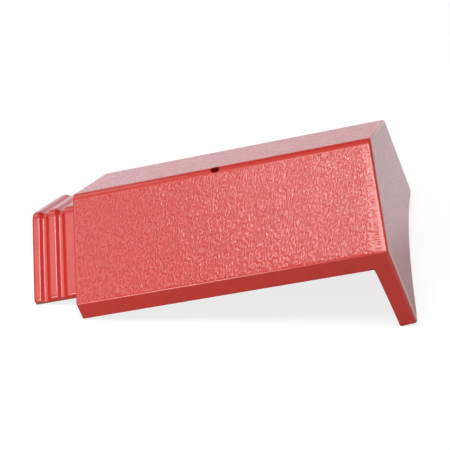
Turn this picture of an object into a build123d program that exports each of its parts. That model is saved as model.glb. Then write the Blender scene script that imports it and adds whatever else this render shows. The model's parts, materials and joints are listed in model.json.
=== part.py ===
"""Ridge end tile for a pitched roof, cast in one piece of concrete.

Two flaps meet in a rounded ridge. One end is closed by a leaning end plate that hangs
below the eaves and is arched underneath. The other end carries a ribbed lap joint, over
which the next ridge tile lies. One screw hole goes through the ridge.

The tile is drawn level first: X runs along the ridge from the joint's shoulder towards
the end plate, Y across, Z up, with the planes of the two flaps meeting at the origin.
It is then turned to lie as it comes to rest on a floor, on the two tips of its plate and
the two lower corners of its joint, with its origin at the middle of its footprint.
"""
from build123d import *
import math
import os

# Flaps and ridge, in millimetres and degrees
BODY_LENGTH = 380.0         # along the ridge, from the joint's shoulder to the plate's outer face
TILE_WIDTH = 254.5          # over the eaves
ROOF_PITCH = 28.5           # slope of each flap
FLAP_THICKNESS = 22.4       # square to the flap
NOSE_RADIUS = 15.0          # ridge, outside
HOLLOW_RADIUS = 9.0         # ridge, inside
EAVE_RADIUS = 2.5           # outer and inner edge of each eave
SHOULDER_RADIUS = 2.0       # edge of the flaps above the joint

# End plate
PLATE_DROP = 128.0          # from the outer eave to the lower corners, before they are rounded
PLATE_THICKNESS = 25.5      # at the outer eave
PLATE_TAPER = 1.9           # the inner face closes on the outer one downwards
PLATE_LEAN = 4.3            # the outer face leans out of plumb
ARCH_RISE = 25.0            # middle of the lower edge above its corners
TIP_RADIUS = 14.0           # lower corners
PLATE_EDGE_RADIUS = 4.0     # round the outer face
PLATE_HEEL_RADIUS = 3.5     # round the inner face

# Lap joint
JOINT_LENGTH = 61.5
JOINT_WIDTH = 203.5
JOINT_STEP = 14.8           # drop from the flap to the rib tops, square to the flap
GROOVE_COUNT = 2
GROOVE_WIDTH = 13.2         # between two rib tops
GROOVE_FLOOR = 4.4
GROOVE_DEPTH = 3.8
RIB_TOP = 9.0               # each rib but the one at the shoulder, which takes what is left
RIB_RADIUS = 1.8
GROOVE_RADIUS = 1.0

# Screw hole
HOLE_DIAMETER = 11.0
HOLE_STATION = 187.0        # from the joint's shoulder
HOLE_RIM_RADIUS = 1.0

# Room that cutters and overlapping blanks need beyond the faces that they meet
SPARE = 10.0
BISECTION_STEPS = 24

PITCH = math.radians(ROOF_PITCH)
HALF_WIDTH = TILE_WIDTH / 2
EAVE_Z = -HALF_WIDTH * math.tan(PITCH)
FLAP_DEPTH = FLAP_THICKNESS / math.cos(PITCH)
PLATE_FOOT_Z = EAVE_Z - PLATE_DROP
JOINT_THICKNESS = FLAP_THICKNESS - JOINT_STEP


def roof_z(y, depth=0.0):
    """Height at Y of the surface that lies DEPTH under the flaps' planes, measured plumb."""
    return -depth - abs(y) * math.tan(PITCH)


def corner(sketch, y, z):
    """The sketch's vertex nearest to a point of the cross-section."""
    return sketch.vertices().sort_by_distance((0, y, z))[0]


def flap_section():
    """Cross-section of the two flaps: plumb eaves, rounded ridge inside and outside."""
    inner_eave_z = EAVE_Z - FLAP_DEPTH
    outline = FilletPolyline(
        (-HALF_WIDTH, inner_eave_z),
        (-HALF_WIDTH, EAVE_Z),
        (0, 0),
        (HALF_WIDTH, EAVE_Z),
        (HALF_WIDTH, inner_eave_z),
        (0, roof_z(0, FLAP_DEPTH)),
        radius=[EAVE_RADIUS, EAVE_RADIUS, NOSE_RADIUS, EAVE_RADIUS, EAVE_RADIUS, HOLLOW_RADIUS],
        close=True,
    )
    return Plane.YZ * make_face(outline)


def plate_front():
    """Front outline of the end plate: the flaps' outline above, plumb sides, arched foot."""
    outline = FilletPolyline(
        (-HALF_WIDTH, PLATE_FOOT_Z),
        (-HALF_WIDTH, EAVE_Z),
        (0, 0),
        (HALF_WIDTH, EAVE_Z),
        (HALF_WIDTH, PLATE_FOOT_Z),
        radius=[0, EAVE_RADIUS, NOSE_RADIUS, EAVE_RADIUS, 0],
        close=True,
    )
    arch_radius = (HALF_WIDTH**2 + ARCH_RISE**2) / (2 * ARCH_RISE)
    arch = Pos(0, PLATE_FOOT_Z + ARCH_RISE - arch_radius) * Circle(arch_radius)
    front = Plane.YZ * (make_face(outline) - arch)
    tips = [corner(front, side * HALF_WIDTH, PLATE_FOOT_Z) for side in (-1, 1)]
    return fillet(tips, TIP_RADIUS)


def plate_outer_x(z):
    """X of the plate's outer face at a height."""
    return BODY_LENGTH - z * math.tan(math.radians(PLATE_LEAN))


def plate_inner_x(z):
    """X of the plate's inner face at a height."""
    taper = math.tan(math.radians(PLATE_TAPER))
    return plate_outer_x(z) - PLATE_THICKNESS + (EAVE_Z - z) * taper


def plate_side():
    """Side view of the end plate, from above the ridge to below the foot."""
    top, bottom = SPARE, PLATE_FOOT_Z - SPARE
    points = [
        (plate_inner_x(top), top),
        (plate_outer_x(top), top),
        (plate_outer_x(bottom), bottom),
        (plate_inner_x(bottom), bottom),
    ]
    return Plane.XZ * make_face(Polyline(*points, close=True))


def end_plate():
    """End plate, rounded all round its outer and its inner face."""
    reach = plate_outer_x(PLATE_FOOT_Z) + SPARE
    plate = extrude(plate_front(), reach) & extrude(plate_side(), HALF_WIDTH + SPARE, both=True)
    plate = fillet(plate.faces().sort_by(Axis.X)[-1].edges(), PLATE_EDGE_RADIUS)
    return fillet(plate.faces().sort_by(Axis.X)[0].edges(), PLATE_HEEL_RADIUS)


def flaps():
    """The two flaps, which run into the plate's thickness."""
    into_plate = (plate_inner_x(EAVE_Z - FLAP_DEPTH) + plate_outer_x(0)) / 2
    body = extrude(flap_section(), into_plate)
    shoulder = body.faces().sort_by(Axis.X)[0]
    return fillet(shoulder.edges(), SHOULDER_RADIUS)


def joint_profile():
    """Ribs and grooves as X and depth under the rib tops, closed by the joint's inner face."""
    wall = (GROOVE_WIDTH - GROOVE_FLOOR) / 2
    end = -JOINT_LENGTH
    points, radii = [(end, 0)], [RIB_RADIUS]
    for groove in range(GROOVE_COUNT):
        left = end + RIB_TOP + groove * (RIB_TOP + GROOVE_WIDTH)
        points += [
            (left, 0),
            (left + wall, GROOVE_DEPTH),
            (left + wall + GROOVE_FLOOR, GROOVE_DEPTH),
            (left + GROOVE_WIDTH, 0),
        ]
        radii += [RIB_RADIUS, GROOVE_RADIUS, GROOVE_RADIUS, RIB_RADIUS]
    points += [(SPARE, 0), (SPARE, JOINT_THICKNESS), (end, JOINT_THICKNESS)]
    radii += [0, 0, GROOVE_RADIUS]
    return make_face(FilletPolyline(*points, radius=radii, close=True))


def lap_joint():
    """The ribbed joint, swept over the ridge from eave to eave and cut plumb at both."""
    step_depth = JOINT_STEP / math.cos(PITCH)
    reach = JOINT_WIDTH / 2 + SPARE
    foot = (0, -reach, roof_z(reach, step_depth))
    far_foot = (0, reach, roof_z(reach, step_depth))
    over_ridge = FilletPolyline(
        foot, (0, 0, roof_z(0, step_depth)), far_foot, radius=HOLLOW_RADIUS + JOINT_THICKNESS
    )
    up_the_flap = (0, math.cos(PITCH), math.sin(PITCH))
    profile = Plane(origin=foot, x_dir=(1, 0, 0), z_dir=up_the_flap) * joint_profile()
    ribbed = sweep(profile, path=over_ridge)
    trim = Box(4 * JOINT_LENGTH, JOINT_WIDTH, 4 * JOINT_WIDTH)
    return ribbed & trim


def screw_hole(body):
    """Cut the hole plumb through the ridge, and round its upper rim."""
    hole = Pos(HOLE_STATION, 0, 0) * Cylinder(HOLE_DIAMETER / 2, 4 * FLAP_DEPTH)
    drilled = body - hole
    rims = drilled.edges().filter_by(
        lambda e: abs(e.center().X - HOLE_STATION) < 1 and e.length < 2 * math.pi * HOLE_DIAMETER
    )
    return fillet(rims.sort_by(Axis.Z)[-1], HOLE_RIM_RADIUS)


def level_tile():
    """The whole tile with its ridge level."""
    return screw_hole(flaps() + end_plate()) + lap_joint()


def lowest(shape, tilt):
    """Lowest Z of a shape that is turned about Y."""
    return shape.rotate(Axis.Y, tilt).bounding_box().min.Z


def resting_tilt(tile):
    """Turn about Y that brings the lowest points on both sides of the tile's weight level."""
    balance = Plane.YZ.offset(tile.center(CenterOf.MASS).X)
    plate_side_half = split(tile, bisect_by=balance, keep=Keep.TOP)
    joint_side_half = split(tile, bisect_by=balance, keep=Keep.BOTTOM)
    low, high = -45.0, 0.0
    for _ in range(BISECTION_STEPS):
        tilt = (low + high) / 2
        if lowest(plate_side_half, tilt) > lowest(joint_side_half, tilt):
            low = tilt
        else:
            high = tilt
    return (low + high) / 2


def at_rest(tile):
    """The tile as it lies unheld, with its footprint's middle at the origin."""
    tilt = resting_tilt(tile)
    print("lies turned about Y by", round(tilt, 3), "degrees")
    turned = tile.rotate(Axis.Y, tilt)
    box = turned.bounding_box()
    middle = box.center()
    return Pos(-middle.X, -middle.Y, -box.min.Z) * turned


if __name__ == "__main__":
    os.makedirs("parts", exist_ok=True)
    export_step(at_rest(level_tile()), "parts/ridge_end_tile.step")
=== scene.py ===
"""Finished look of the ridge end tile: thick glossy red paint over a cast concrete body.

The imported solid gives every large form. This script lays a dense skin over it, raises the
fine cast relief of the flaps on that skin, paints it, and lights it in a plain studio.
"""
import json
import logging
import math
from dataclasses import dataclass, field
from enum import IntEnum
from typing import Dict, Iterable, List, Optional, Sequence, Set, Tuple, Union

import bmesh
import bpy
import numpy as np
from mathutils import Matrix, Vector


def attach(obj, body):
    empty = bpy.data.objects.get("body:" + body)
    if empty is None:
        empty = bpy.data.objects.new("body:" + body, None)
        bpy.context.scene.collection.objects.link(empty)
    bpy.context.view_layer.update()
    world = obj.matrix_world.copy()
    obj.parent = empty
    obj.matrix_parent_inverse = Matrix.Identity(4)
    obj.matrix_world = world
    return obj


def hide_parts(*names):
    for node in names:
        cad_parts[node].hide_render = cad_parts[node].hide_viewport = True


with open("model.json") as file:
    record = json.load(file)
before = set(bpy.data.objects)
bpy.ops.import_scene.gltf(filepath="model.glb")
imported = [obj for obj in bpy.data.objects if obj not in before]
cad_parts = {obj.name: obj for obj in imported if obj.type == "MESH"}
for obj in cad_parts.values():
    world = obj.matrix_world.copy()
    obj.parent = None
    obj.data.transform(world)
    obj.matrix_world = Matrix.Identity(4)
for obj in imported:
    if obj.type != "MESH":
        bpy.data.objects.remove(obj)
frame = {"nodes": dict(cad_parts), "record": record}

log = logging.getLogger("ridge_end_tile")

NODE = "ridge_end_tile"
BODY = "root"

Number = Union[float, int, "Value"]
Key = Union[int, str]
Span = Tuple[float, float]
Point = Tuple[float, float, float]
Colour = Tuple[float, float, float, float]
Steps = Tuple[Tuple[str, float, float], ...]

WHITE: Colour = (1.0, 1.0, 1.0, 1.0)
OUTER_FLAP: Steps = (
    ("depth", 0.0010, 0.0003), ("along", -0.0001, 0.0001), ("run", 0.0085, 0.0105),
)


# Node trees


class Value:
    """One output socket; arithmetic on it adds the Math nodes that work it out."""

    def __init__(self, graph: "Graph", socket: bpy.types.NodeSocket) -> None:
        """Wrap a socket of a graph's tree."""
        self.graph = graph
        self.socket = socket

    def math(self, operation: str, *operands: Number) -> "Value":
        """Result of a Math node on some operands.

        Args:
            operation: the node's operation.
            operands: its inputs, in order.

        Returns:
            The node's output.
        """
        settings = {"operation": operation}
        return self.graph.node("ShaderNodeMath", settings, dict(enumerate(operands)))

    def __add__(self, other: Number) -> "Value":
        """Sum."""
        return self.math("ADD", self, other)

    def __radd__(self, other: Number) -> "Value":
        """Sum with a plain number on the left."""
        return self.math("ADD", other, self)

    def __sub__(self, other: Number) -> "Value":
        """Difference."""
        return self.math("SUBTRACT", self, other)

    def __rsub__(self, other: Number) -> "Value":
        """Difference from a plain number."""
        return self.math("SUBTRACT", other, self)

    def __mul__(self, other: Number) -> "Value":
        """Product."""
        return self.math("MULTIPLY", self, other)

    def __rmul__(self, other: Number) -> "Value":
        """Product with a plain number on the left."""
        return self.math("MULTIPLY", other, self)

    def __truediv__(self, other: Number) -> "Value":
        """Quotient."""
        return self.math("DIVIDE", self, other)

    def __rtruediv__(self, other: Number) -> "Value":
        """Quotient of a plain number by this value."""
        return self.math("DIVIDE", other, self)

    def highest(self, other: Number) -> "Value":
        """The larger of two values."""
        return self.math("MAXIMUM", self, other)

    def smooth(self, start: Number, end: Number) -> "Value":
        """Soft step from 0 at one value to 1 at another.

        Args:
            start: where the step leaves 0.
            end: where it reaches 1; it may be the smaller one.

        Returns:
            The step's height.
        """
        settings = {"interpolation_type": "SMOOTHSTEP"}
        inputs = {"Value": self, "From Min": start, "From Max": end}
        return self.graph.node("ShaderNodeMapRange", settings, inputs)

    def other(self, output: Key) -> "Value":
        """Another output of the node that this value comes from."""
        return Value(self.graph, self.graph.find(self.socket.node.outputs, output))


class Graph:
    """Builds one node tree, for a shader, a world or Geometry Nodes."""

    def __init__(self, tree: bpy.types.NodeTree) -> None:
        """Work on a tree, from its present state."""
        self.tree = tree

    @staticmethod
    def find(sockets: Sequence[bpy.types.NodeSocket], key: Key) -> bpy.types.NodeSocket:
        """The socket with an index, a name or an identifier, of those in use.

        Args:
            sockets: a node's inputs or outputs.
            key: index, name or identifier.

        Returns:
            The socket.
        """
        if isinstance(key, int):
            return sockets[key]
        return next(s for s in sockets if s.enabled and key in (s.name, s.identifier))

    def node(
        self,
        kind: str,
        settings: Optional[Dict[str, object]] = None,
        inputs: Optional[Dict[Key, object]] = None,
        output: Key = 0,
    ) -> Value:
        """Add a node.

        Args:
            kind: the node's type.
            settings: its settings, which are set first.
            inputs: values or links of its sockets.
            output: the output to return.

        Returns:
            The chosen output.
        """
        node = self.tree.nodes.new(kind)
        for name, setting in (settings or {}).items():
            setattr(node, name, setting)
        for key, given in (inputs or {}).items():
            socket = self.find(node.inputs, key)
            if isinstance(given, Value):
                self.tree.links.new(given.socket, socket)
            else:
                socket.default_value = given
        used = [s for s in node.outputs if s.enabled]
        return Value(self, self.find(used, output) if used else None)

    def vector(self, operation: str, *operands: object) -> Value:
        """Result of a Vector Math node.

        Args:
            operation: the node's operation.
            operands: its inputs, in order.

        Returns:
            The node's vector.
        """
        settings = {"operation": operation}
        return self.node("ShaderNodeVectorMath", settings, dict(enumerate(operands)))

    def scaled(self, place: Value, scale: Number) -> Value:
        """A vector times a number."""
        inputs = {"Vector": place, "Scale": scale}
        return self.node("ShaderNodeVectorMath", {"operation": "SCALE"}, inputs)

    def combine(self, x: Number, y: Number, z: Number) -> Value:
        """Vector of three values."""
        return self.node("ShaderNodeCombineXYZ", None, {"X": x, "Y": y, "Z": z})

    def parts(self, place: Value) -> Tuple[Value, Value, Value]:
        """The three values of a vector."""
        x = self.node("ShaderNodeSeparateXYZ", None, {0: place}, "X")
        return x, x.other("Y"), x.other("Z")

    def noise(
        self, place: Value, scale: Number, detail: float = 1.0, roughness: float = 0.5
    ) -> Value:
        """Perlin noise around 0.5.

        Args:
            place: where it is read.
            scale: cells for each unit of place.
            detail: further octaves.
            roughness: strength of each octave against the one before.

        Returns:
            The noise.
        """
        inputs = {"Vector": place, "Scale": scale, "Detail": detail, "Roughness": roughness}
        return self.node("ShaderNodeTexNoise", {"noise_dimensions": "3D"}, inputs)

    def blend(self, factor: Number, first: object, second: object) -> Value:
        """Colour between two colours.

        Args:
            factor: 0 for the first, 1 for the second.
            first: a colour or a link.
            second: a colour or a link.

        Returns:
            The mixed colour.
        """
        inputs = {"Factor": factor, "A_Color": first, "B_Color": second}
        return self.node("ShaderNodeMix", {"data_type": "RGBA"}, inputs, "Result")


# The tile's own frame


@dataclass(frozen=True)
class TileLayout:
    """Sizes of the tile, in its own level frame.

    X runs along the ridge from the joint's shoulder towards the end plate, Y across, Z up,
    and the planes of the flaps meet at the origin.
    """

    body_length: float = 0.380
    half_width: float = 0.12725
    pitch: float = math.radians(28.5)
    thickness: float = 0.0224
    nose_radius: float = 0.015
    eave_radius: float = 0.0025
    plate_lean: float = math.radians(4.3)
    plate_taper: float = math.radians(1.9)
    plate_thickness: float = 0.0255
    plate_drop: float = 0.128
    tip_radius: float = 0.014
    joint_length: float = 0.0615
    joint_step: float = 0.0148
    joint_radius: float = 0.0166
    groove_depth: float = 0.0038
    hole_radius: float = 0.0055
    hole_station: float = 0.187
    hole_middle: float = -0.0149

    def mount(self, name: str) -> Dict[str, object]:
        """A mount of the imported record."""
        return next(m for m in frame["record"]["mounts"] if m["name"] == name)

    def placing(self) -> Matrix:
        """Find how the tile lies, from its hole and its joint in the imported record.

        Returns:
            The matrix from the tile's frame to the row frame.
        """
        hole = self.mount("screw_hole")
        up = Vector(hole["axis"]).normalized()
        along = -Vector(self.mount("lap_joint")["axis"]).normalized()
        across = up.cross(along)
        origin = Vector(hole["pos_m"]) - along * self.hole_station - up * self.hole_middle
        rows = [(along[i], across[i], up[i], origin[i]) for i in range(3)]
        return Matrix(rows + [(0.0, 0.0, 0.0, 1.0)])

    def down_slope(self, side: int) -> Vector:
        """Direction down a flap: side -1 is the near one, 1 the far one."""
        return Vector((0.0, side * math.cos(self.pitch), -math.sin(self.pitch)))

    def flap_normal(self, side: int) -> Vector:
        """Direction out of a flap's outer face."""
        return Vector((0.0, side * math.sin(self.pitch), math.cos(self.pitch)))

    def nose_edge(self) -> float:
        """Distance down the slope at which the rounded nose gives way to the flat flap."""
        return self.nose_radius * math.tan(self.pitch)

    def eave_edge(self) -> float:
        """Distance down the slope at which the flat flap ends above the eave."""
        turn = math.pi / 2 - self.pitch
        return self.half_width / math.cos(self.pitch) - self.eave_radius * math.tan(turn / 2)

    def eave_height(self) -> float:
        """Height of the eaves' upper edge, where the flap's plane meets its plumb face."""
        return -self.half_width * math.tan(self.pitch)

    def depth(self, across: np.ndarray, up: np.ndarray) -> np.ndarray:
        """Depth of some points under the planes of the flaps, square to them."""
        return (-up - np.abs(across) * math.tan(self.pitch)) * math.cos(self.pitch)

    def rib_depth(self, points: np.ndarray) -> np.ndarray:
        """Depth under the joint's rib tops, square to them, round the ridge as well.

        Args:
            points: points of the level skin.

        Returns:
            Their depths.
        """
        across, up = points[:, 1], points[:, 2]
        middle = -(self.joint_step + self.joint_radius) / math.cos(self.pitch)
        turn = np.arctan2(np.abs(across), up - middle)
        radial = self.joint_radius - np.hypot(across, up - middle)
        return np.where(turn < self.pitch, radial, self.depth(across, up) - self.joint_step)

    def plate_outer(self, up: np.ndarray) -> np.ndarray:
        """X of the plate's outer face at some heights."""
        return self.body_length - up * math.tan(self.plate_lean)

    def plate_inner(self, up: np.ndarray) -> np.ndarray:
        """X of the plate's inner face at some heights."""
        closing = (self.eave_height() - up) * math.tan(self.plate_taper)
        return self.plate_outer(up) - self.plate_thickness + closing


class Zone(IntEnum):
    """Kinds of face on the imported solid, by how finely each is divided."""

    FLAP_NEAR = 0
    FLAP_FAR = 1
    ROUND = 2
    SIDE = 3
    PLATE = 4
    JOINT = 5
    BED = 6
    BACK = 7
    REST = 8


# Dense skin


def soft_step(values: np.ndarray, start: float, end: float) -> np.ndarray:
    """Soft step from 0 at start to 1 at end, which may be the smaller one."""
    share = np.clip((values - start) / (end - start), 0.0, 1.0)
    return share * share * (3.0 - 2.0 * share)


def read_points(mesh: bpy.types.Mesh) -> np.ndarray:
    """The points of a mesh, one to a row."""
    co = np.zeros(len(mesh.vertices) * 3)
    mesh.vertices.foreach_get("co", co)
    return co.reshape(-1, 3)


@dataclass(frozen=True)
class SkinMaps:
    """Maps that relief and paint follow on the level skin, each a product of soft steps.

    A step says what is measured, where it leaves 0 and where it reaches 1.
    """

    layout: TileLayout
    relief: Steps = OUTER_FLAP + (
        ("along", 0.003, 0.006), ("to_eave", 0.0008, 0.0030), ("off_strip", -0.0020, 0.0040),
    )
    plate_band: Steps = OUTER_FLAP + (("off_strip", 0.0040, -0.0020), ("to_plate", 0.001, 0.004))
    bare: Steps = (
        ("above_bed", 0.0020, 0.0006), ("past_plate", 0.0030, 0.0010), ("in_side", 0.0004, 0.0022),
    )
    # painted shade: where the joint's groove walls are darkened
    groove_shade: Steps = (
        ("along", 0.0002, -0.0002), ("along", -0.0600, -0.0585),
        ("slant", 0.15, 0.50), ("rib_depth", 0.0060, 0.0050),
    )
    # painted shade: inside the screw hole
    bore_shade: Steps = (("off_bore", 0.0005, 0.0),)
    # painted highlight: thin pale line along the end plate's near edge
    rim_highlight: Steps = (
        ("behind_front", 0.0009, 0.0004), ("in_side", 0.0085, 0.0050),
        ("in_side", 0.0006, 0.0014), ("above_eave", 0.004, 0.0),
    )
    strip_width: float = 0.0060
    strip_growth: float = 0.04
    strip_waves: Tuple[Tuple[float, float, float, float], ...] = (
        (0.0016, 170.0, 1.0, 0.0),
        (0.0012, 410.0, 0.0, 2.0),
        (0.0007, 930.0, 0.0, 4.0),
    )

    def write_all(self, mesh: bpy.types.Mesh) -> None:
        """Write every map as an attribute of the skin.

        Args:
            mesh: the level skin.
        """
        measures = self.measures(mesh)
        flap_map = np.stack([measures[name] for name in ("along", "run", "side")], axis=1)
        self.write(mesh, "flap_map", flap_map)
        for name in ("relief", "plate_band", "bare", "groove_shade", "bore_shade", "rim_highlight"):
            product = np.ones(len(mesh.vertices))
            for measure, start, end in getattr(self, name):
                product = product * soft_step(measures[measure], start, end)
            self.write(mesh, name, product)

    def measures(self, mesh: bpy.types.Mesh) -> Dict[str, np.ndarray]:
        """Measure every point of the skin.

        Args:
            mesh: the level skin.

        Returns:
            All that the steps are measured along, by name.
        """
        lay = self.layout
        points = read_points(mesh)
        normals = np.zeros(points.size)
        mesh.vertex_normals.foreach_get("vector", normals)
        along, across, up = points.T
        side = np.where(across < 0, -1.0, 1.0)
        run = np.abs(across) / math.cos(lay.pitch)
        depth = lay.depth(across, up)
        to_plate = lay.body_length - along
        border = self.strip_width + self.strip_growth * run
        for height, pace, by_side, shift in self.strip_waves:
            border = border + height * np.sin(run * pace + by_side * side + shift)
        return {
            "along": along,
            "run": run,
            "side": side,
            "depth": depth,
            "above_bed": lay.thickness - depth,
            "rib_depth": lay.rib_depth(points),
            "to_eave": lay.half_width / math.cos(lay.pitch) - run,
            "to_plate": to_plate,
            "off_strip": to_plate - border,
            "past_plate": along - lay.plate_inner(up),
            "behind_front": lay.plate_outer(up) - along,
            "in_side": lay.half_width - np.abs(across),
            "above_eave": up - lay.eave_height(),
            "off_bore": np.hypot(along - lay.hole_station, across) - lay.hole_radius,
            "slant": np.abs(normals.reshape(-1, 3)[:, 0]),
        }

    @staticmethod
    def write(mesh: bpy.types.Mesh, name: str, values: np.ndarray) -> None:
        """Write one point attribute.

        Args:
            mesh: the mesh.
            name: the attribute's name.
            values: one number or one vector for each point.
        """
        is_vector = values.ndim == 2
        kind, key = ("FLOAT_VECTOR", "vector") if is_vector else ("FLOAT", "value")
        made = mesh.attributes.new(name, kind, "POINT")
        made.data.foreach_set(key, values.astype(np.float32).ravel())


@dataclass(frozen=True)
class DenseSkin:
    """Even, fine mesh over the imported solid."""

    layout: TileLayout
    fine: float = 0.0014
    medium: float = 0.0030
    merge: float = 1e-5
    snap: float = 1e-4
    level: float = math.radians(0.1)
    sharp: float = math.radians(50)
    parallel: float = 0.9999
    plumb: float = 0.999
    endways: float = 0.99
    lowest: float = -0.21
    nose_spacing: float = 0.0012
    nose_depth: float = 0.0026
    nose_foot: float = -0.0055
    nose_off_shoulder: Span = (0.002, 0.005)
    nose_off_plate: Span = (0.004, 0.007)
    nose_off_hole: Span = (0.0066, 0.0080)
    crest_radius: float = 0.008
    lip_spacing: float = 0.0008
    lip_span: Span = (-0.0066, -0.0018)
    rib_spacing: float = 0.0009
    rib_softness: float = 0.0008
    rib_sample: Span = (-0.09, -0.02)
    eave_reach: float = 0.0038
    eave_crispness: float = 0.3
    inner_tip: float = 0.36
    outer_tip: float = 0.62
    tip_side: float = 0.66
    tip_rise: float = 1.49
    tip_overlap: float = 0.02

    def build(self, name: str) -> bpy.types.Object:
        """Make the skin.

        Args:
            name: name of the new object.

        Returns:
            The object, in the row frame.
        """
        placing = self.layout.placing()
        mesh = self.level_mesh(name, placing)
        points = read_points(mesh)
        self.round_nose(points)
        self.ease_ribs(points)
        self.crisp_eaves(points)
        self.crisp_tips(points)
        mesh.vertices.foreach_set("co", points.ravel())
        SkinMaps(self.layout).write_all(mesh)
        for polygon in mesh.polygons:
            polygon.material_index = 0
        mesh.transform(placing)
        points = read_points(mesh)
        points[:, 2] = np.maximum(points[:, 2], 0.0)
        mesh.vertices.foreach_set("co", points.ravel())
        mesh.set_sharp_from_angle(angle=self.sharp)
        made = bpy.data.objects.new(name, mesh)
        bpy.context.scene.collection.objects.link(made)
        return made

    def level_mesh(self, name: str, placing: Matrix) -> bpy.types.Mesh:
        """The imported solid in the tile's own frame, merged and finely divided.

        Args:
            name: name of the new mesh.
            placing: matrix from the tile's frame to the row frame.

        Returns:
            The mesh, with each face's kind as its material index.
        """
        mesh = bpy.data.meshes.new(name)
        skin = bmesh.new()
        skin.from_mesh(frame["nodes"][NODE].data)
        bmesh.ops.remove_doubles(skin, verts=skin.verts, dist=self.merge)
        skin.transform(placing.inverted())
        skin.normal_update()
        for face in skin.faces:
            face.material_index = int(self.zone(face))
        bmesh.ops.dissolve_limit(
            skin, angle_limit=self.level, verts=skin.verts, edges=skin.edges, delimit={"MATERIAL"}
        )
        self.divide(skin)
        for face in skin.faces:
            face.smooth = True
        skin.to_mesh(mesh)
        skin.free()
        return mesh

    def zone(self, face: bmesh.types.BMFace) -> Zone:
        """Kind of one face.

        Args:
            face: a face of the level solid.

        Returns:
            Its kind.
        """
        lay = self.layout
        middle, normal = face.calc_center_median(), face.normal
        depth = (-middle.z - abs(middle.y) * math.tan(lay.pitch)) * math.cos(lay.pitch)
        side = -1 if middle.y < 0 else 1
        if middle.x < -self.snap:
            return Zone.JOINT if depth < lay.thickness - self.medium / 2 else Zone.REST
        if depth < self.snap and normal.dot(lay.flap_normal(side)) > self.parallel:
            return Zone.FLAP_NEAR if side < 0 else Zone.FLAP_FAR
        if abs(normal.y) > self.plumb and abs(middle.y) > lay.half_width - self.snap:
            return Zone.SIDE
        if normal.x > self.endways and middle.x > lay.body_length / 2:
            return Zone.PLATE
        if depth < lay.thickness / 2 and normal.z > 0:
            return Zone.ROUND
        if normal.dot(lay.flap_normal(side)) < -self.parallel:
            return Zone.BED
        if normal.x < -self.endways and middle.x > lay.body_length / 2:
            return Zone.BACK
        return Zone.REST

    def cut(
        self, skin: bmesh.types.BMesh, zones: Iterable[Zone], direction: Vector, spacing: float,
        start: float, end: float,
    ) -> None:
        """Cut some kinds of face by evenly spaced planes.

        Args:
            skin: the mesh.
            zones: kinds of face to cut.
            direction: normal of the planes.
            spacing: distance between planes.
            start: where the planes start along the direction.
            end: where they end.
        """
        kinds = {int(zone) for zone in zones}
        count = max(1, round((end - start) / spacing))
        stations = [start + (end - start) * step / count for step in range(1, count)]
        self.cut_at(skin, {f for f in skin.faces if f.material_index in kinds}, direction, stations)

    def cut_at(
        self, skin: bmesh.types.BMesh, faces: Set[bmesh.types.BMFace], direction: Vector,
        stations: Sequence[float],
    ) -> None:
        """Cut faces by planes, from the middle one outwards.

        Args:
            skin: the mesh.
            faces: the faces that may be cut.
            direction: normal of the planes.
            stations: where the planes are along the direction, in order.
        """
        if not faces or not stations:
            return
        kinds = {f.material_index for f in faces}
        middle = len(stations) // 2
        station = stations[middle]
        edges = {e for f in faces for e in f.edges}
        corners = {v for f in faces for v in f.verts}
        cut = bmesh.ops.bisect_plane(
            skin, geom=[*faces, *edges, *corners], dist=self.snap,
            plane_co=direction * station, plane_no=direction,
        )
        lines = [g for g in cut["geom_cut"] if isinstance(g, bmesh.types.BMEdge)]
        faces = faces | {f for e in lines for f in e.link_faces if f.material_index in kinds}
        beyond = {f for f in faces if f.calc_center_median().dot(direction) > station}
        self.cut_at(skin, faces - beyond, direction, stations[:middle])
        self.cut_at(skin, beyond, direction, stations[middle + 1:])

    def divide(self, skin: bmesh.types.BMesh) -> None:
        """Divide every kind of face to its own fineness, the slopes of the flaps last.

        Args:
            skin: the level mesh.
        """
        lay = self.layout
        along, across, up = Vector((1, 0, 0)), Vector((0, 1, 0)), Vector((0, 0, 1))
        length, wide, coarse = lay.body_length, lay.half_width, 2 * self.medium
        rows = round(length / self.fine / 4) * 4
        fine = length / rows
        nose = lay.nose_radius * math.sin(lay.pitch) - self.snap
        slope = (lay.nose_edge(), lay.eave_edge())
        cuts = (
            ([Zone.FLAP_NEAR, Zone.FLAP_FAR], along, fine, 0.0, length),
            ([Zone.ROUND, Zone.SIDE], along, 2 * fine, 0.0, length),
            ([Zone.ROUND], across, self.nose_spacing, -nose, nose),
            ([Zone.BED, Zone.REST], along, 4 * fine, 0.0, length),
            ([Zone.REST], up, self.lip_spacing, *self.lip_span),
            ([Zone.SIDE, Zone.PLATE], up, self.medium, self.lowest, 0.0),
            ([Zone.PLATE], across, self.medium, -wide, wide),
            ([Zone.BACK], across, coarse, -wide, wide),
            ([Zone.BACK], up, coarse, self.lowest, 0.0),
            ([Zone.JOINT], across, 1.5 * self.medium, -wide, wide),
            ([Zone.JOINT], along, self.rib_spacing, -lay.joint_length, 0.0),
            ([Zone.BED, Zone.REST], across, coarse, -wide, wide),
            ([Zone.FLAP_NEAR], lay.down_slope(-1), fine, *slope),
            ([Zone.FLAP_FAR], lay.down_slope(1), fine, *slope),
        )
        for zones, direction, spacing, start, end in cuts:
            self.cut(skin, zones, direction, spacing, start, end)

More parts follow.
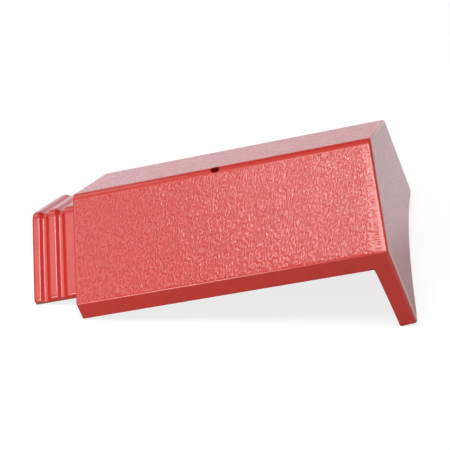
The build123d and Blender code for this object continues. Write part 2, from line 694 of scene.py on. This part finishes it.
    def nose_height(self, across: np.ndarray) -> np.ndarray:
        """Height of the nose: a wide arc on the near side, a crisper crest beyond.

        Args:
            across: places across the ridge.

        Returns:
            The heights.
        """
        lay = self.layout
        top = -lay.nose_radius * (1.0 / math.cos(lay.pitch) - 1.0)
        near = np.clip(across, -lay.nose_radius * math.sin(lay.pitch), 0.0)
        wide = top - lay.nose_radius + np.sqrt(lay.nose_radius**2 - near**2)
        turn = self.crest_radius * math.sin(lay.pitch)
        start = -top / math.tan(lay.pitch) - self.crest_radius * math.tan(lay.pitch / 2)
        far = np.clip(across - start, 0.0, turn)
        crest = top - self.crest_radius + np.sqrt(self.crest_radius**2 - far**2)
        crest = np.where(across > start + turn, -across * math.tan(lay.pitch), crest)
        return np.where(across < 0.0, wide, crest)

    def round_nose(self, points: np.ndarray) -> None:
        """Lay the nose's points on its true round.

        Args:
            points: points of the level skin, changed in place.
        """
        lay = self.layout
        along, across, up = points.T
        nose = np.abs(across) < lay.nose_radius * math.sin(lay.pitch)
        on_top = nose & (lay.depth(across, up) < self.nose_depth) & (up > self.nose_foot)
        weight = soft_step(along, *self.nose_off_shoulder)
        weight *= soft_step(lay.plate_outer(up) - along, *self.nose_off_plate)
        weight *= soft_step(np.hypot(along - lay.hole_station, across), *self.nose_off_hole)
        height = up + (self.nose_height(across) - up) * weight
        points[on_top, 2] = height[on_top]

    def ease_ribs(self, points: np.ndarray) -> None:
        """Round the joint's ribs a little further, as the thick paint does.

        Args:
            points: points of the level skin, changed in place.
        """
        lay = self.layout
        along, across = points[:, 0], points[:, 1]
        deep = lay.rib_depth(points)
        inside = (along < -self.snap) & (along > -lay.joint_length + self.snap)
        top = inside & (deep < lay.groove_depth + self.snap)
        start, end = self.rib_sample
        model = top & (across > start) & (across < end)
        order = np.argsort(along[model])
        grid = np.arange(-lay.joint_length, 0.0, self.snap)
        profile = np.interp(grid, along[model][order], deep[model][order])
        reach = round(3 * self.rib_softness / self.snap)
        spots = np.arange(-reach, reach + 1) * self.snap
        weights = np.exp(-0.5 * (spots / self.rib_softness) ** 2)
        weights /= weights.sum()
        eased = np.convolve(np.pad(profile, reach, mode="edge"), weights, mode="valid")
        drop = np.interp(along, grid, eased - profile) * top
        turn = np.clip(across / (lay.joint_radius * math.sin(lay.pitch)), -1.0, 1.0) * lay.pitch
        points[:, 1] -= drop * np.sin(turn)
        points[:, 2] -= drop * np.cos(turn)

    def crisp_eaves(self, points: np.ndarray) -> None:
        """Draw the lower edges of the eaves out, crisp.

        Args:
            points: points of the level skin, changed in place.
        """
        lay = self.layout
        along, across, up = points.T
        in_side = lay.half_width - np.abs(across)
        in_bed = lay.thickness - lay.depth(across, up)
        inner = lay.plate_inner(up)
        edge = (in_side < self.eave_reach) & (in_bed < self.eave_reach) & (in_bed > -self.snap)
        edge &= (along > -self.snap) & (along < inner + self.snap)
        on_plate = edge & (np.abs(along - inner) < self.snap)
        corner = lay.eave_height() - lay.thickness / math.cos(lay.pitch)
        side = np.sign(across)
        keep = self.eave_crispness
        points[edge, 1] = (side * (lay.half_width - in_side * keep))[edge]
        points[edge, 2] = (corner + (up - corner) * keep)[edge]
        points[on_plate, 0] = lay.plate_inner(points[on_plate, 2])

    def crisp_tips(self, points: np.ndarray) -> None:
        """Draw the plate's lower tips out, most at its inner face.

        Args:
            points: points of the level skin, changed in place.
        """
        lay = self.layout
        along, across, up = (column.copy() for column in points.T)
        foot = lay.eave_height() - lay.plate_drop
        in_side = lay.half_width - np.abs(across)
        rise = up - foot
        inner, outer = lay.plate_inner(up), lay.plate_outer(up)
        share = (along - inner) / (outer - inner)
        tip = (share > -self.tip_overlap) & (in_side < self.tip_side * lay.tip_radius)
        tip &= rise < self.tip_rise * lay.tip_radius
        keep = self.inner_tip + (self.outer_tip - self.inner_tip) * share
        height = foot + rise * keep
        inner, outer = lay.plate_inner(height), lay.plate_outer(height)
        reach = np.sign(across) * (lay.half_width - in_side * keep)
        moved = np.stack([inner + share * (outer - inner), reach, height], axis=1)
        points[tip] = moved[tip]


# Relief


@dataclass(frozen=True)
class ReliefPattern:
    """Cast relief of the flaps: short ridges down the slope, and small dimples between them.

    Every method works in a shader as well as in Geometry Nodes.
    """

    lean: float = math.radians(-26)
    ridge_pitch: float = 0.0044
    ridge_length: float = 3.1
    crisp_pitch: float = 0.0018
    bend_scale: float = 0.45
    bend: float = 0.35
    detail: float = 0.6
    roughness: float = 0.45
    crowding: Span = (-0.05, 0.30)
    foot: float = 0.52
    crowded_foot: float = 0.18
    crowded_width: float = 0.22
    dimple_pitch: float = 0.0020
    dimple_length: float = 1.5
    dimple_gain: float = 3.2
    flap_shift: float = 7.3
    dimple_shift: float = 4.7
    seed: float = 4.0

    def turned(self, graph: Graph, place: Value, lean: Number) -> Value:
        """The flap map turned so that Y runs along the ridges.

        Args:
            graph: the tree.
            place: the flap map.
            lean: angle of the ridges against the slope.

        Returns:
            The turned place.
        """
        settings = {"rotation_type": "Z_AXIS"}
        return graph.node("ShaderNodeVectorRotate", settings, {"Vector": place, "Angle": lean})

    def ridges(
        self, graph: Graph, place: Value, width: float, pitch: Number, length: Number, lean: Number
    ) -> Value:
        """Heights from 0 to 1 of the ridges, which crowd together towards the plate.

        Args:
            graph: the tree.
            place: the flap map.
            width: how much of the noise's range a ridge's flank takes up.
            pitch: width of the noise's cells, across the ridges.
            length: how many times longer than wide the cells are.
            lean: angle of the ridges against the slope.

        Returns:
            The heights.
        """
        across, down, side = graph.parts(self.turned(graph, place, lean))
        cells = graph.combine(across / pitch, down / (pitch * length), side * self.flap_shift)
        bend = graph.noise(cells, self.bend_scale).other("Color")
        bend = graph.vector("SUBTRACT", bend, (0.5, 0.5, 0.5))
        bent = graph.vector("ADD", cells, graph.scaled(bend, self.bend))
        lumps = graph.noise(bent, 1.0, self.detail, self.roughness)
        crowd = graph.parts(place)[0].smooth(*self.crowding)
        foot = self.foot - crowd * self.crowded_foot
        return lumps.smooth(foot, foot + crowd * self.crowded_width + width)

    def dimples(self, graph: Graph, place: Value, pitch: Number) -> Value:
        """Heights from about -1 to 1 of the small blobs between the ridges.

        Args:
            graph: the tree.
            place: the flap map.
            pitch: width of the noise's cells.

        Returns:
            The heights.
        """
        across, down, side = graph.parts(self.turned(graph, place, self.lean))
        down = down / (pitch * self.dimple_length)
        cells = graph.combine(across / pitch, down, side * self.dimple_shift)
        return (graph.noise(cells, 1.0, 1.5, 0.5) - 0.5) * self.dimple_gain


@dataclass(frozen=True)
class CastRelief:
    """Geometry Nodes that raise the soft part of the relief on the skin."""

    pattern: ReliefPattern
    ridge_width: float = 0.16
    ridge_height: float = 0.00008
    dimple_height: float = 0.00004
    wave_height: float = 0.00012
    wave_scale: float = 38.0

    def tree(self) -> bpy.types.NodeTree:
        """Build the tree.

        Returns:
            The tree, with named inputs for its sizes.
        """
        tree = bpy.data.node_groups.new("cast relief", "GeometryNodeTree")
        face = tree.interface
        face.new_socket(name="Skin", in_out="INPUT", socket_type="NodeSocketGeometry")
        sizes = {
            "Ridge height": self.ridge_height,
            "Ridge pitch": self.pattern.ridge_pitch,
            "Ridge length": self.pattern.ridge_length,
            "Ridge lean": self.pattern.lean,
            "Dimple height": self.dimple_height,
            "Dimple pitch": self.pattern.dimple_pitch,
            "Wave height": self.wave_height,
            "Seed": self.pattern.seed,
        }
        for name, size in sizes.items():
            socket = face.new_socket(name=name, in_out="INPUT", socket_type="NodeSocketFloat")
            socket.default_value = size
        face.new_socket(name="Paint", in_out="INPUT", socket_type="NodeSocketMaterial")
        face.new_socket(name="Relief", in_out="OUTPUT", socket_type="NodeSocketGeometry")
        graph = Graph(tree)
        given = graph.node("NodeGroupInput", None, None, "Skin")
        height = self.height(graph, {name: given.other(name) for name in sizes})
        offset = graph.scaled(graph.node("GeometryNodeInputNormal"), height)
        moved = graph.node("GeometryNodeSetPosition", None, {"Geometry": given, "Offset": offset})
        whole = graph.node("GeometryNodeRealizeInstances", None, {"Geometry": moved})
        dressed = graph.node(
            "GeometryNodeSetMaterial", None, {"Geometry": whole, "Material": given.other("Paint")}
        )
        graph.node("NodeGroupOutput", None, {"Relief": dressed})
        return tree

    def height(self, graph: Graph, size: Dict[str, Value]) -> Value:
        """How far the skin is raised.

        Args:
            graph: the tree.
            size: the tree's inputs by name.

        Returns:
            The height, nothing outside the relief's field.
        """
        place = self.named(graph, "flap_map", "FLOAT_VECTOR")
        seeded = graph.vector("ADD", place, graph.combine(0.0, 0.0, size["Seed"]))
        pitch, length, lean = (size["Ridge " + name] for name in ("pitch", "length", "lean"))
        ridges = self.pattern.ridges(graph, seeded, self.ridge_width, pitch, length, lean)
        dimples = self.pattern.dimples(graph, seeded, size["Dimple pitch"])
        waves = graph.noise(seeded, self.wave_scale) - 0.5
        height = ridges * size["Ridge height"] + dimples * size["Dimple height"]
        return (height + waves * size["Wave height"]) * self.named(graph, "relief", "FLOAT")

    @staticmethod
    def named(graph: Graph, name: str, kind: str) -> Value:
        """A point attribute of the skin, read in Geometry Nodes."""
        settings = {"data_type": kind}
        return graph.node("GeometryNodeInputNamedAttribute", settings, {"Name": name}, "Attribute")

    def raise_on(self, skin: bpy.types.Object, paint: bpy.types.Material) -> None:
        """Run the tree on the skin and keep its result as the skin's plain mesh.

        Args:
            skin: the dense skin.
            paint: the material that it gets.
        """
        tree = self.tree()
        modifier = skin.modifiers.new("cast relief", "NODES")
        modifier.node_group = tree
        for item in tree.interface.items_tree:
            if item.item_type == "SOCKET" and item.name == "Paint":
                modifier[item.identifier] = paint
        graph = bpy.context.evaluated_depsgraph_get()
        made = bpy.data.meshes.new_from_object(skin.evaluated_get(graph), depsgraph=graph)
        made.name = skin.name
        skin.modifiers.remove(modifier)
        plain = skin.data
        skin.data = made
        bpy.data.meshes.remove(plain)


# Finishes


@dataclass(frozen=True)
class PaintedConcrete:
    """Thick glossy paint outside, dull pigmented concrete on the underside."""

    pattern: ReliefPattern
    red: Colour = (0.60, 0.030, 0.018, 1.0)
    deep_red: Colour = (0.50, 0.020, 0.012, 1.0)
    # painted shade: darker red on the joint's groove walls
    groove_shade_red: Colour = (0.58, 0.012, 0.005, 1.0)
    # painted shade: darker red inside the screw hole
    bore_shade_red: Colour = (0.42, 0.015, 0.010, 1.0)
    # painted highlight: pale line along the end plate's near edge
    rim_highlight_pale: Colour = (0.95, 0.60, 0.48, 1.0)
    raw: Colour = (0.26, 0.062, 0.040, 1.0)
    raw_pale: Colour = (0.36, 0.110, 0.075, 1.0)
    refraction: float = 1.68
    gloss: float = 0.24
    gloss_wander: float = 0.06
    dull: float = 0.86
    mottle_scale: float = 70.0
    mottle_span: Span = (0.40, 0.75)
    mottle_share: float = 0.35
    cement_scale: float = 120.0
    cement_span: Span = (0.35, 0.70)
    overspray_scale: float = 260.0
    overspray: float = 2.0
    overspray_span: Span = (0.35, 0.65)
    crisp_width: float = 0.13
    crisp_height: float = 0.00042
    dimple_height: float = 0.00005
    ripple_scale: Span = (120.0, 460.0)
    ripple_height: float = 0.00070
    streak_scale: Span = (60.0, 520.0)
    streak_height: float = 0.00030
    plate_facing: Span = (0.85, 0.92)
    grain_scale: float = 900.0
    paint_grain: float = 0.00003
    cement_grain: float = 0.0004

    def material(self) -> bpy.types.Material:
        """Build the material of the whole casting.

        Returns:
            The material.
        """
        made = bpy.data.materials.new("painted concrete")
        made.use_nodes = True
        made.node_tree.nodes.clear()
        graph = Graph(made.node_tree)
        solid = graph.node("ShaderNodeTexCoord", output="Object")
        bare = self.bare(graph, solid)
        mottle = graph.noise(solid, self.mottle_scale, 3.0)
        lumps = graph.noise(solid, self.cement_scale, 4.0).smooth(*self.cement_span)
        cement = graph.blend(lumps, self.raw, self.raw_pale)
        paint_gloss = self.gloss + (mottle - 0.5) * self.gloss_wander
        height = {"Height": self.height(graph, solid, bare), "Distance": 1.0, "Strength": 1.0}
        inputs = {
            "Base Color": graph.blend(bare, self.paint(graph, mottle), cement),
            "Roughness": paint_gloss * (1.0 - bare) + self.dull * bare,
            "Normal": graph.node("ShaderNodeBump", None, height),
            "IOR": self.refraction,
        }
        shader = graph.node("ShaderNodeBsdfPrincipled", None, inputs)
        graph.node("ShaderNodeOutputMaterial", None, {"Surface": shader})
        return made

    def bare(self, graph: Graph, solid: Value) -> Value:
        """Where the concrete is bare, with an edge of overspray.

        Args:
            graph: the tree.
            solid: the place on the object.

        Returns:
            1 where it is bare, 0 where it is painted.
        """
        bare = self.attribute(graph, "bare", "Fac")
        spray = graph.noise(solid, self.overspray_scale, 3.0) - 0.5
        return (bare + spray * (bare * (1.0 - bare)) * self.overspray).smooth(*self.overspray_span)

    def paint(self, graph: Graph, mottle: Value) -> Value:
        """Colour of the paint, with painted shade on the joint's groove walls and inside the hole,
        and a painted highlight along the end plate's near edge.

        Args:
            graph: the tree.
            mottle: noise that the red follows a little.

        Returns:
            The colour.
        """
        share = mottle.smooth(*self.mottle_span) * self.mottle_share
        paint = graph.blend(share, self.red, self.deep_red)
        # painted shade in the grooves and the hole, painted highlight along the plate's near edge
        parts = {"groove_shade": self.groove_shade_red, "bore_shade": self.bore_shade_red, "rim_highlight": self.rim_highlight_pale}
        for name, colour in parts.items():
            paint = graph.blend(self.attribute(graph, name, "Fac"), paint, colour)
        return paint

    def height(self, graph: Graph, solid: Value, bare: Value) -> Value:
        """Height of all that is finer than the skin.

        Args:
            graph: the tree.
            solid: the place on the object.
            bare: where the concrete is bare.

        Returns:
            The height, in metres.
        """
        lay = self.pattern
        place = self.attribute(graph, "flap_map", "Vector")
        seeded = graph.vector("ADD", place, (0.0, 0.0, lay.seed))
        ridges = lay.ridges(
            graph, seeded, self.crisp_width, lay.crisp_pitch, lay.ridge_length, lay.lean
        )
        dimples = lay.dimples(graph, seeded, lay.dimple_pitch)
        height = ridges * self.crisp_height + dimples * self.dimple_height
        height = height * self.attribute(graph, "relief", "Fac")
        along, run, side = graph.parts(place)
        slow, quick = self.ripple_scale
        ripples = graph.noise(graph.combine(along * slow, run * quick, side), 1.0, 1.5) - 0.5
        strip = self.attribute(graph, "plate_band", "Fac")
        x, y, z = graph.parts(solid)
        slow, quick = self.streak_scale
        streaks = graph.noise(graph.combine(x * slow, y * quick, z * slow), 1.0, 2.0) - 0.5
        normal = graph.node("ShaderNodeNewGeometry", output="True Normal")
        on_plate = graph.parts(normal)[0].smooth(*self.plate_facing)
        grain = graph.noise(solid, self.grain_scale, 2.0) - 0.5
        height = height + ripples * strip * self.ripple_height
        height = height + streaks * on_plate * self.streak_height
        return height + grain * self.paint_grain + grain * bare * self.cement_grain

    @staticmethod
    def attribute(graph: Graph, name: str, output: str) -> Value:
        """A point attribute of the skin, read in a shader."""
        return graph.node("ShaderNodeAttribute", {"attribute_name": name}, None, output)


@dataclass(frozen=True)
class RidgeEndTile:
    """The whole casting: flaps, nose, end plate, lap joint and screw hole."""

    layout: TileLayout = field(default_factory=TileLayout)
    pattern: ReliefPattern = field(default_factory=ReliefPattern)

    def build(self) -> bpy.types.Object:
        """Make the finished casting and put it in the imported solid's place.

        Returns:
            The casting.
        """
        casting = DenseSkin(self.layout).build("ridge_end_tile_finished")
        paint = PaintedConcrete(self.pattern).material()
        CastRelief(self.pattern).raise_on(casting, paint)
        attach(casting, BODY)
        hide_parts(NODE)
        return casting


# Studio


@dataclass(frozen=True)
class Lamp:
    """One soft lamp that shines at the tile."""

    name: str
    place: Point
    wide: float
    deep: float
    glow: float
    aim: Point = (0.0, 0.0, 0.08)

    def build(self) -> bpy.types.Object:
        """Make the lamp, with its wide side level with the tile's ridge.

        Returns:
            The lamp.
        """
        light = bpy.data.lights.new(self.name, "AREA")
        light.shape = "RECTANGLE"
        light.size = self.wide
        light.size_y = self.deep
        light.energy = self.glow * math.pi * self.wide * self.deep
        made = bpy.data.objects.new(self.name, light)
        back = (Vector(self.place) - Vector(self.aim)).normalized()
        wide = (Vector((1.0, 0.0, 0.0)) - back * back.x).normalized()
        deep = back.cross(wide)
        rows = [(wide[i], deep[i], back[i], self.place[i]) for i in range(3)]
        made.matrix_world = Matrix(rows + [(0.0, 0.0, 0.0, 1.0)])
        bpy.context.scene.collection.objects.link(made)
        return made


@dataclass(frozen=True)
class Studio:
    """Plain pale floor that rises into a white backdrop, with soft lamps and a white sky."""

    reach: float = 4.0
    backdrop: float = 3.0
    height: float = 3.0
    bend: float = 0.8
    bend_steps: int = 12
    ambient: float = 0.29
    mirrored_sky: float = 0.38
    floor_white: float = 0.35
    floor_lift: float = 0.76
    mirrored_lift: float = 0.86
    mirrored_tint: Colour = (0.96, 0.98, 1.06, 1.0)
    behind: Span = (-0.12, 0.12)
    beside: Span = (0.235, 0.255)
    beside_share: float = 0.60
    low: Span = (1.5, 0.1)
    lamps: Tuple[Lamp, ...] = (
        Lamp("softbox", (-0.04, -0.25, 1.80), 0.66, 0.60, 9.4),
        Lamp("skirt", (-0.60, -0.25, 1.80), 0.46, 0.70, 4.8),
        Lamp("wing", (-1.33, -0.25, 1.65), 0.80, 0.70, 1.8),
        Lamp("back", (-1.35, 1.20, 1.30), 0.90, 0.80, 1.5),
        Lamp("key", (-0.55, -1.50, 0.34), 0.50, 0.50, 13.5, (-0.05, 0.0, 0.06)),
    )

    def build(self) -> None:
        """Make floor, backdrop, lamps and sky."""
        for lamp in self.lamps:
            lamp.build()
        self.floor()
        self.sky()
        bpy.context.scene.view_settings.view_transform = "Standard"

    def floor(self) -> bpy.types.Object:
        """Floor and backdrop as one sheet with a round bend.

        Returns:
            The sheet.
        """
        turns = [math.pi / 2 * s / self.bend_steps for s in range(self.bend_steps + 1)]
        start = self.backdrop - self.bend
        profile = [(-self.reach, 0.0)]
        profile += [(start + self.bend * math.sin(t), self.bend * (1 - math.cos(t))) for t in turns]
        profile += [(self.backdrop, self.height)]
        points = [(side * self.reach, y, z) for y, z in profile for side in (-1, 1)]
        faces = [(2 * i, 2 * i + 1, 2 * i + 3, 2 * i + 2) for i in range(len(profile) - 1)]
        mesh = bpy.data.meshes.new("floor")
        mesh.from_pydata(points, [], faces)
        mesh.polygons.foreach_set("use_smooth", [True] * len(faces))
        mesh.materials.append(self.floor_material())
        made = bpy.data.objects.new("floor", mesh)
        bpy.context.scene.collection.objects.link(made)
        return made

    def floor_material(self) -> bpy.types.Material:
        """Matt white that looks white to the camera and still shows the tile's shadow.

        Returns:
            The material.
        """
        made = bpy.data.materials.new("floor white")
        made.use_nodes = True
        made.node_tree.nodes.clear()
        graph = Graph(made.node_tree)
        camera = graph.node("ShaderNodeLightPath", output="Is Camera Ray")
        x, y, z = graph.parts(graph.node("ShaderNodeTexCoord", output="Object"))
        beside = x.smooth(*self.beside) * self.beside_share
        around = y.smooth(*self.behind).highest(beside) * z.smooth(*self.low)
        mirrored = camera.other("Is Glossy Ray") * around * self.mirrored_lift
        seen = camera * self.floor_lift + mirrored
        tint = graph.blend(camera, self.mirrored_tint, WHITE)
        pale = (self.floor_white,) * 3 + (1.0,)
        matt = graph.node("ShaderNodeBsdfDiffuse", None, {"Color": pale})
        glow = graph.node("ShaderNodeEmission", None, {"Color": tint, "Strength": seen})
        both = graph.node("ShaderNodeAddShader", None, {0: matt, 1: glow})
        graph.node("ShaderNodeOutputMaterial", None, {"Surface": both})
        return made

    def sky(self) -> None:
        """White to the camera, softer in reflections and as light."""
        world = bpy.data.worlds.new("studio")
        bpy.context.scene.world = world
        world.use_nodes = True
        world.node_tree.nodes.clear()
        graph = Graph(world.node_tree)
        camera = graph.node("ShaderNodeLightPath", output="Is Camera Ray")
        mirrored = camera.other("Is Glossy Ray") * (self.mirrored_sky - self.ambient)
        strength = camera * (1.0 - self.ambient) + mirrored + self.ambient
        sky = graph.node("ShaderNodeBackground", None, {"Color": WHITE, "Strength": strength})
        graph.node("ShaderNodeOutputWorld", None, {"Surface": sky})


@dataclass(frozen=True)
class PhotoCamera:
    """Camera at the photograph's place, found from the outline of the tile."""

    place: Point = (0.1425, -1.2763, 1.1501)
    aim: Point = (0.0034, 0.0, 0.0471)
    roll: float = math.radians(-3.309)
    lens: float = 107.2
    sensor: float = 36.0
    clip: Span = (0.05, 50.0)

    def build(self) -> bpy.types.Object:
        """Make the camera and choose it for the scene.

        Returns:
            The camera.
        """
        data = bpy.data.cameras.new("camera")
        data.lens = self.lens
        data.sensor_width = self.sensor
        data.clip_start, data.clip_end = self.clip
        forward = (Vector(self.aim) - Vector(self.place)).normalized()
        level = forward.cross(Vector((0, 0, 1))).normalized()
        upright = level.cross(forward)
        right = level * math.cos(self.roll) + upright * math.sin(self.roll)
        up = right.cross(forward)
        rows = [(right[i], up[i], -forward[i], self.place[i]) for i in range(3)]
        made = bpy.data.objects.new("camera", data)
        made.matrix_world = Matrix(rows + [(0.0, 0.0, 0.0, 1.0)])
        bpy.context.scene.collection.objects.link(made)
        bpy.context.scene.camera = made
        return made


def report(piece: bpy.types.Object) -> None:
    """Say a piece's name and how many triangles it has."""
    piece.data.calc_loop_triangles()
    log.info("%s: %d triangles", piece.name, len(piece.data.loop_triangles))


def main() -> None:
    """Build camera, studio and tile, and note how many triangles the finished casting has."""
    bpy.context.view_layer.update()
    PhotoCamera().build()
    Studio().build()
    report(RidgeEndTile().build())


if __name__ == "__main__":
    logging.basicConfig(level=logging.INFO, format="%(message)s")
    main()
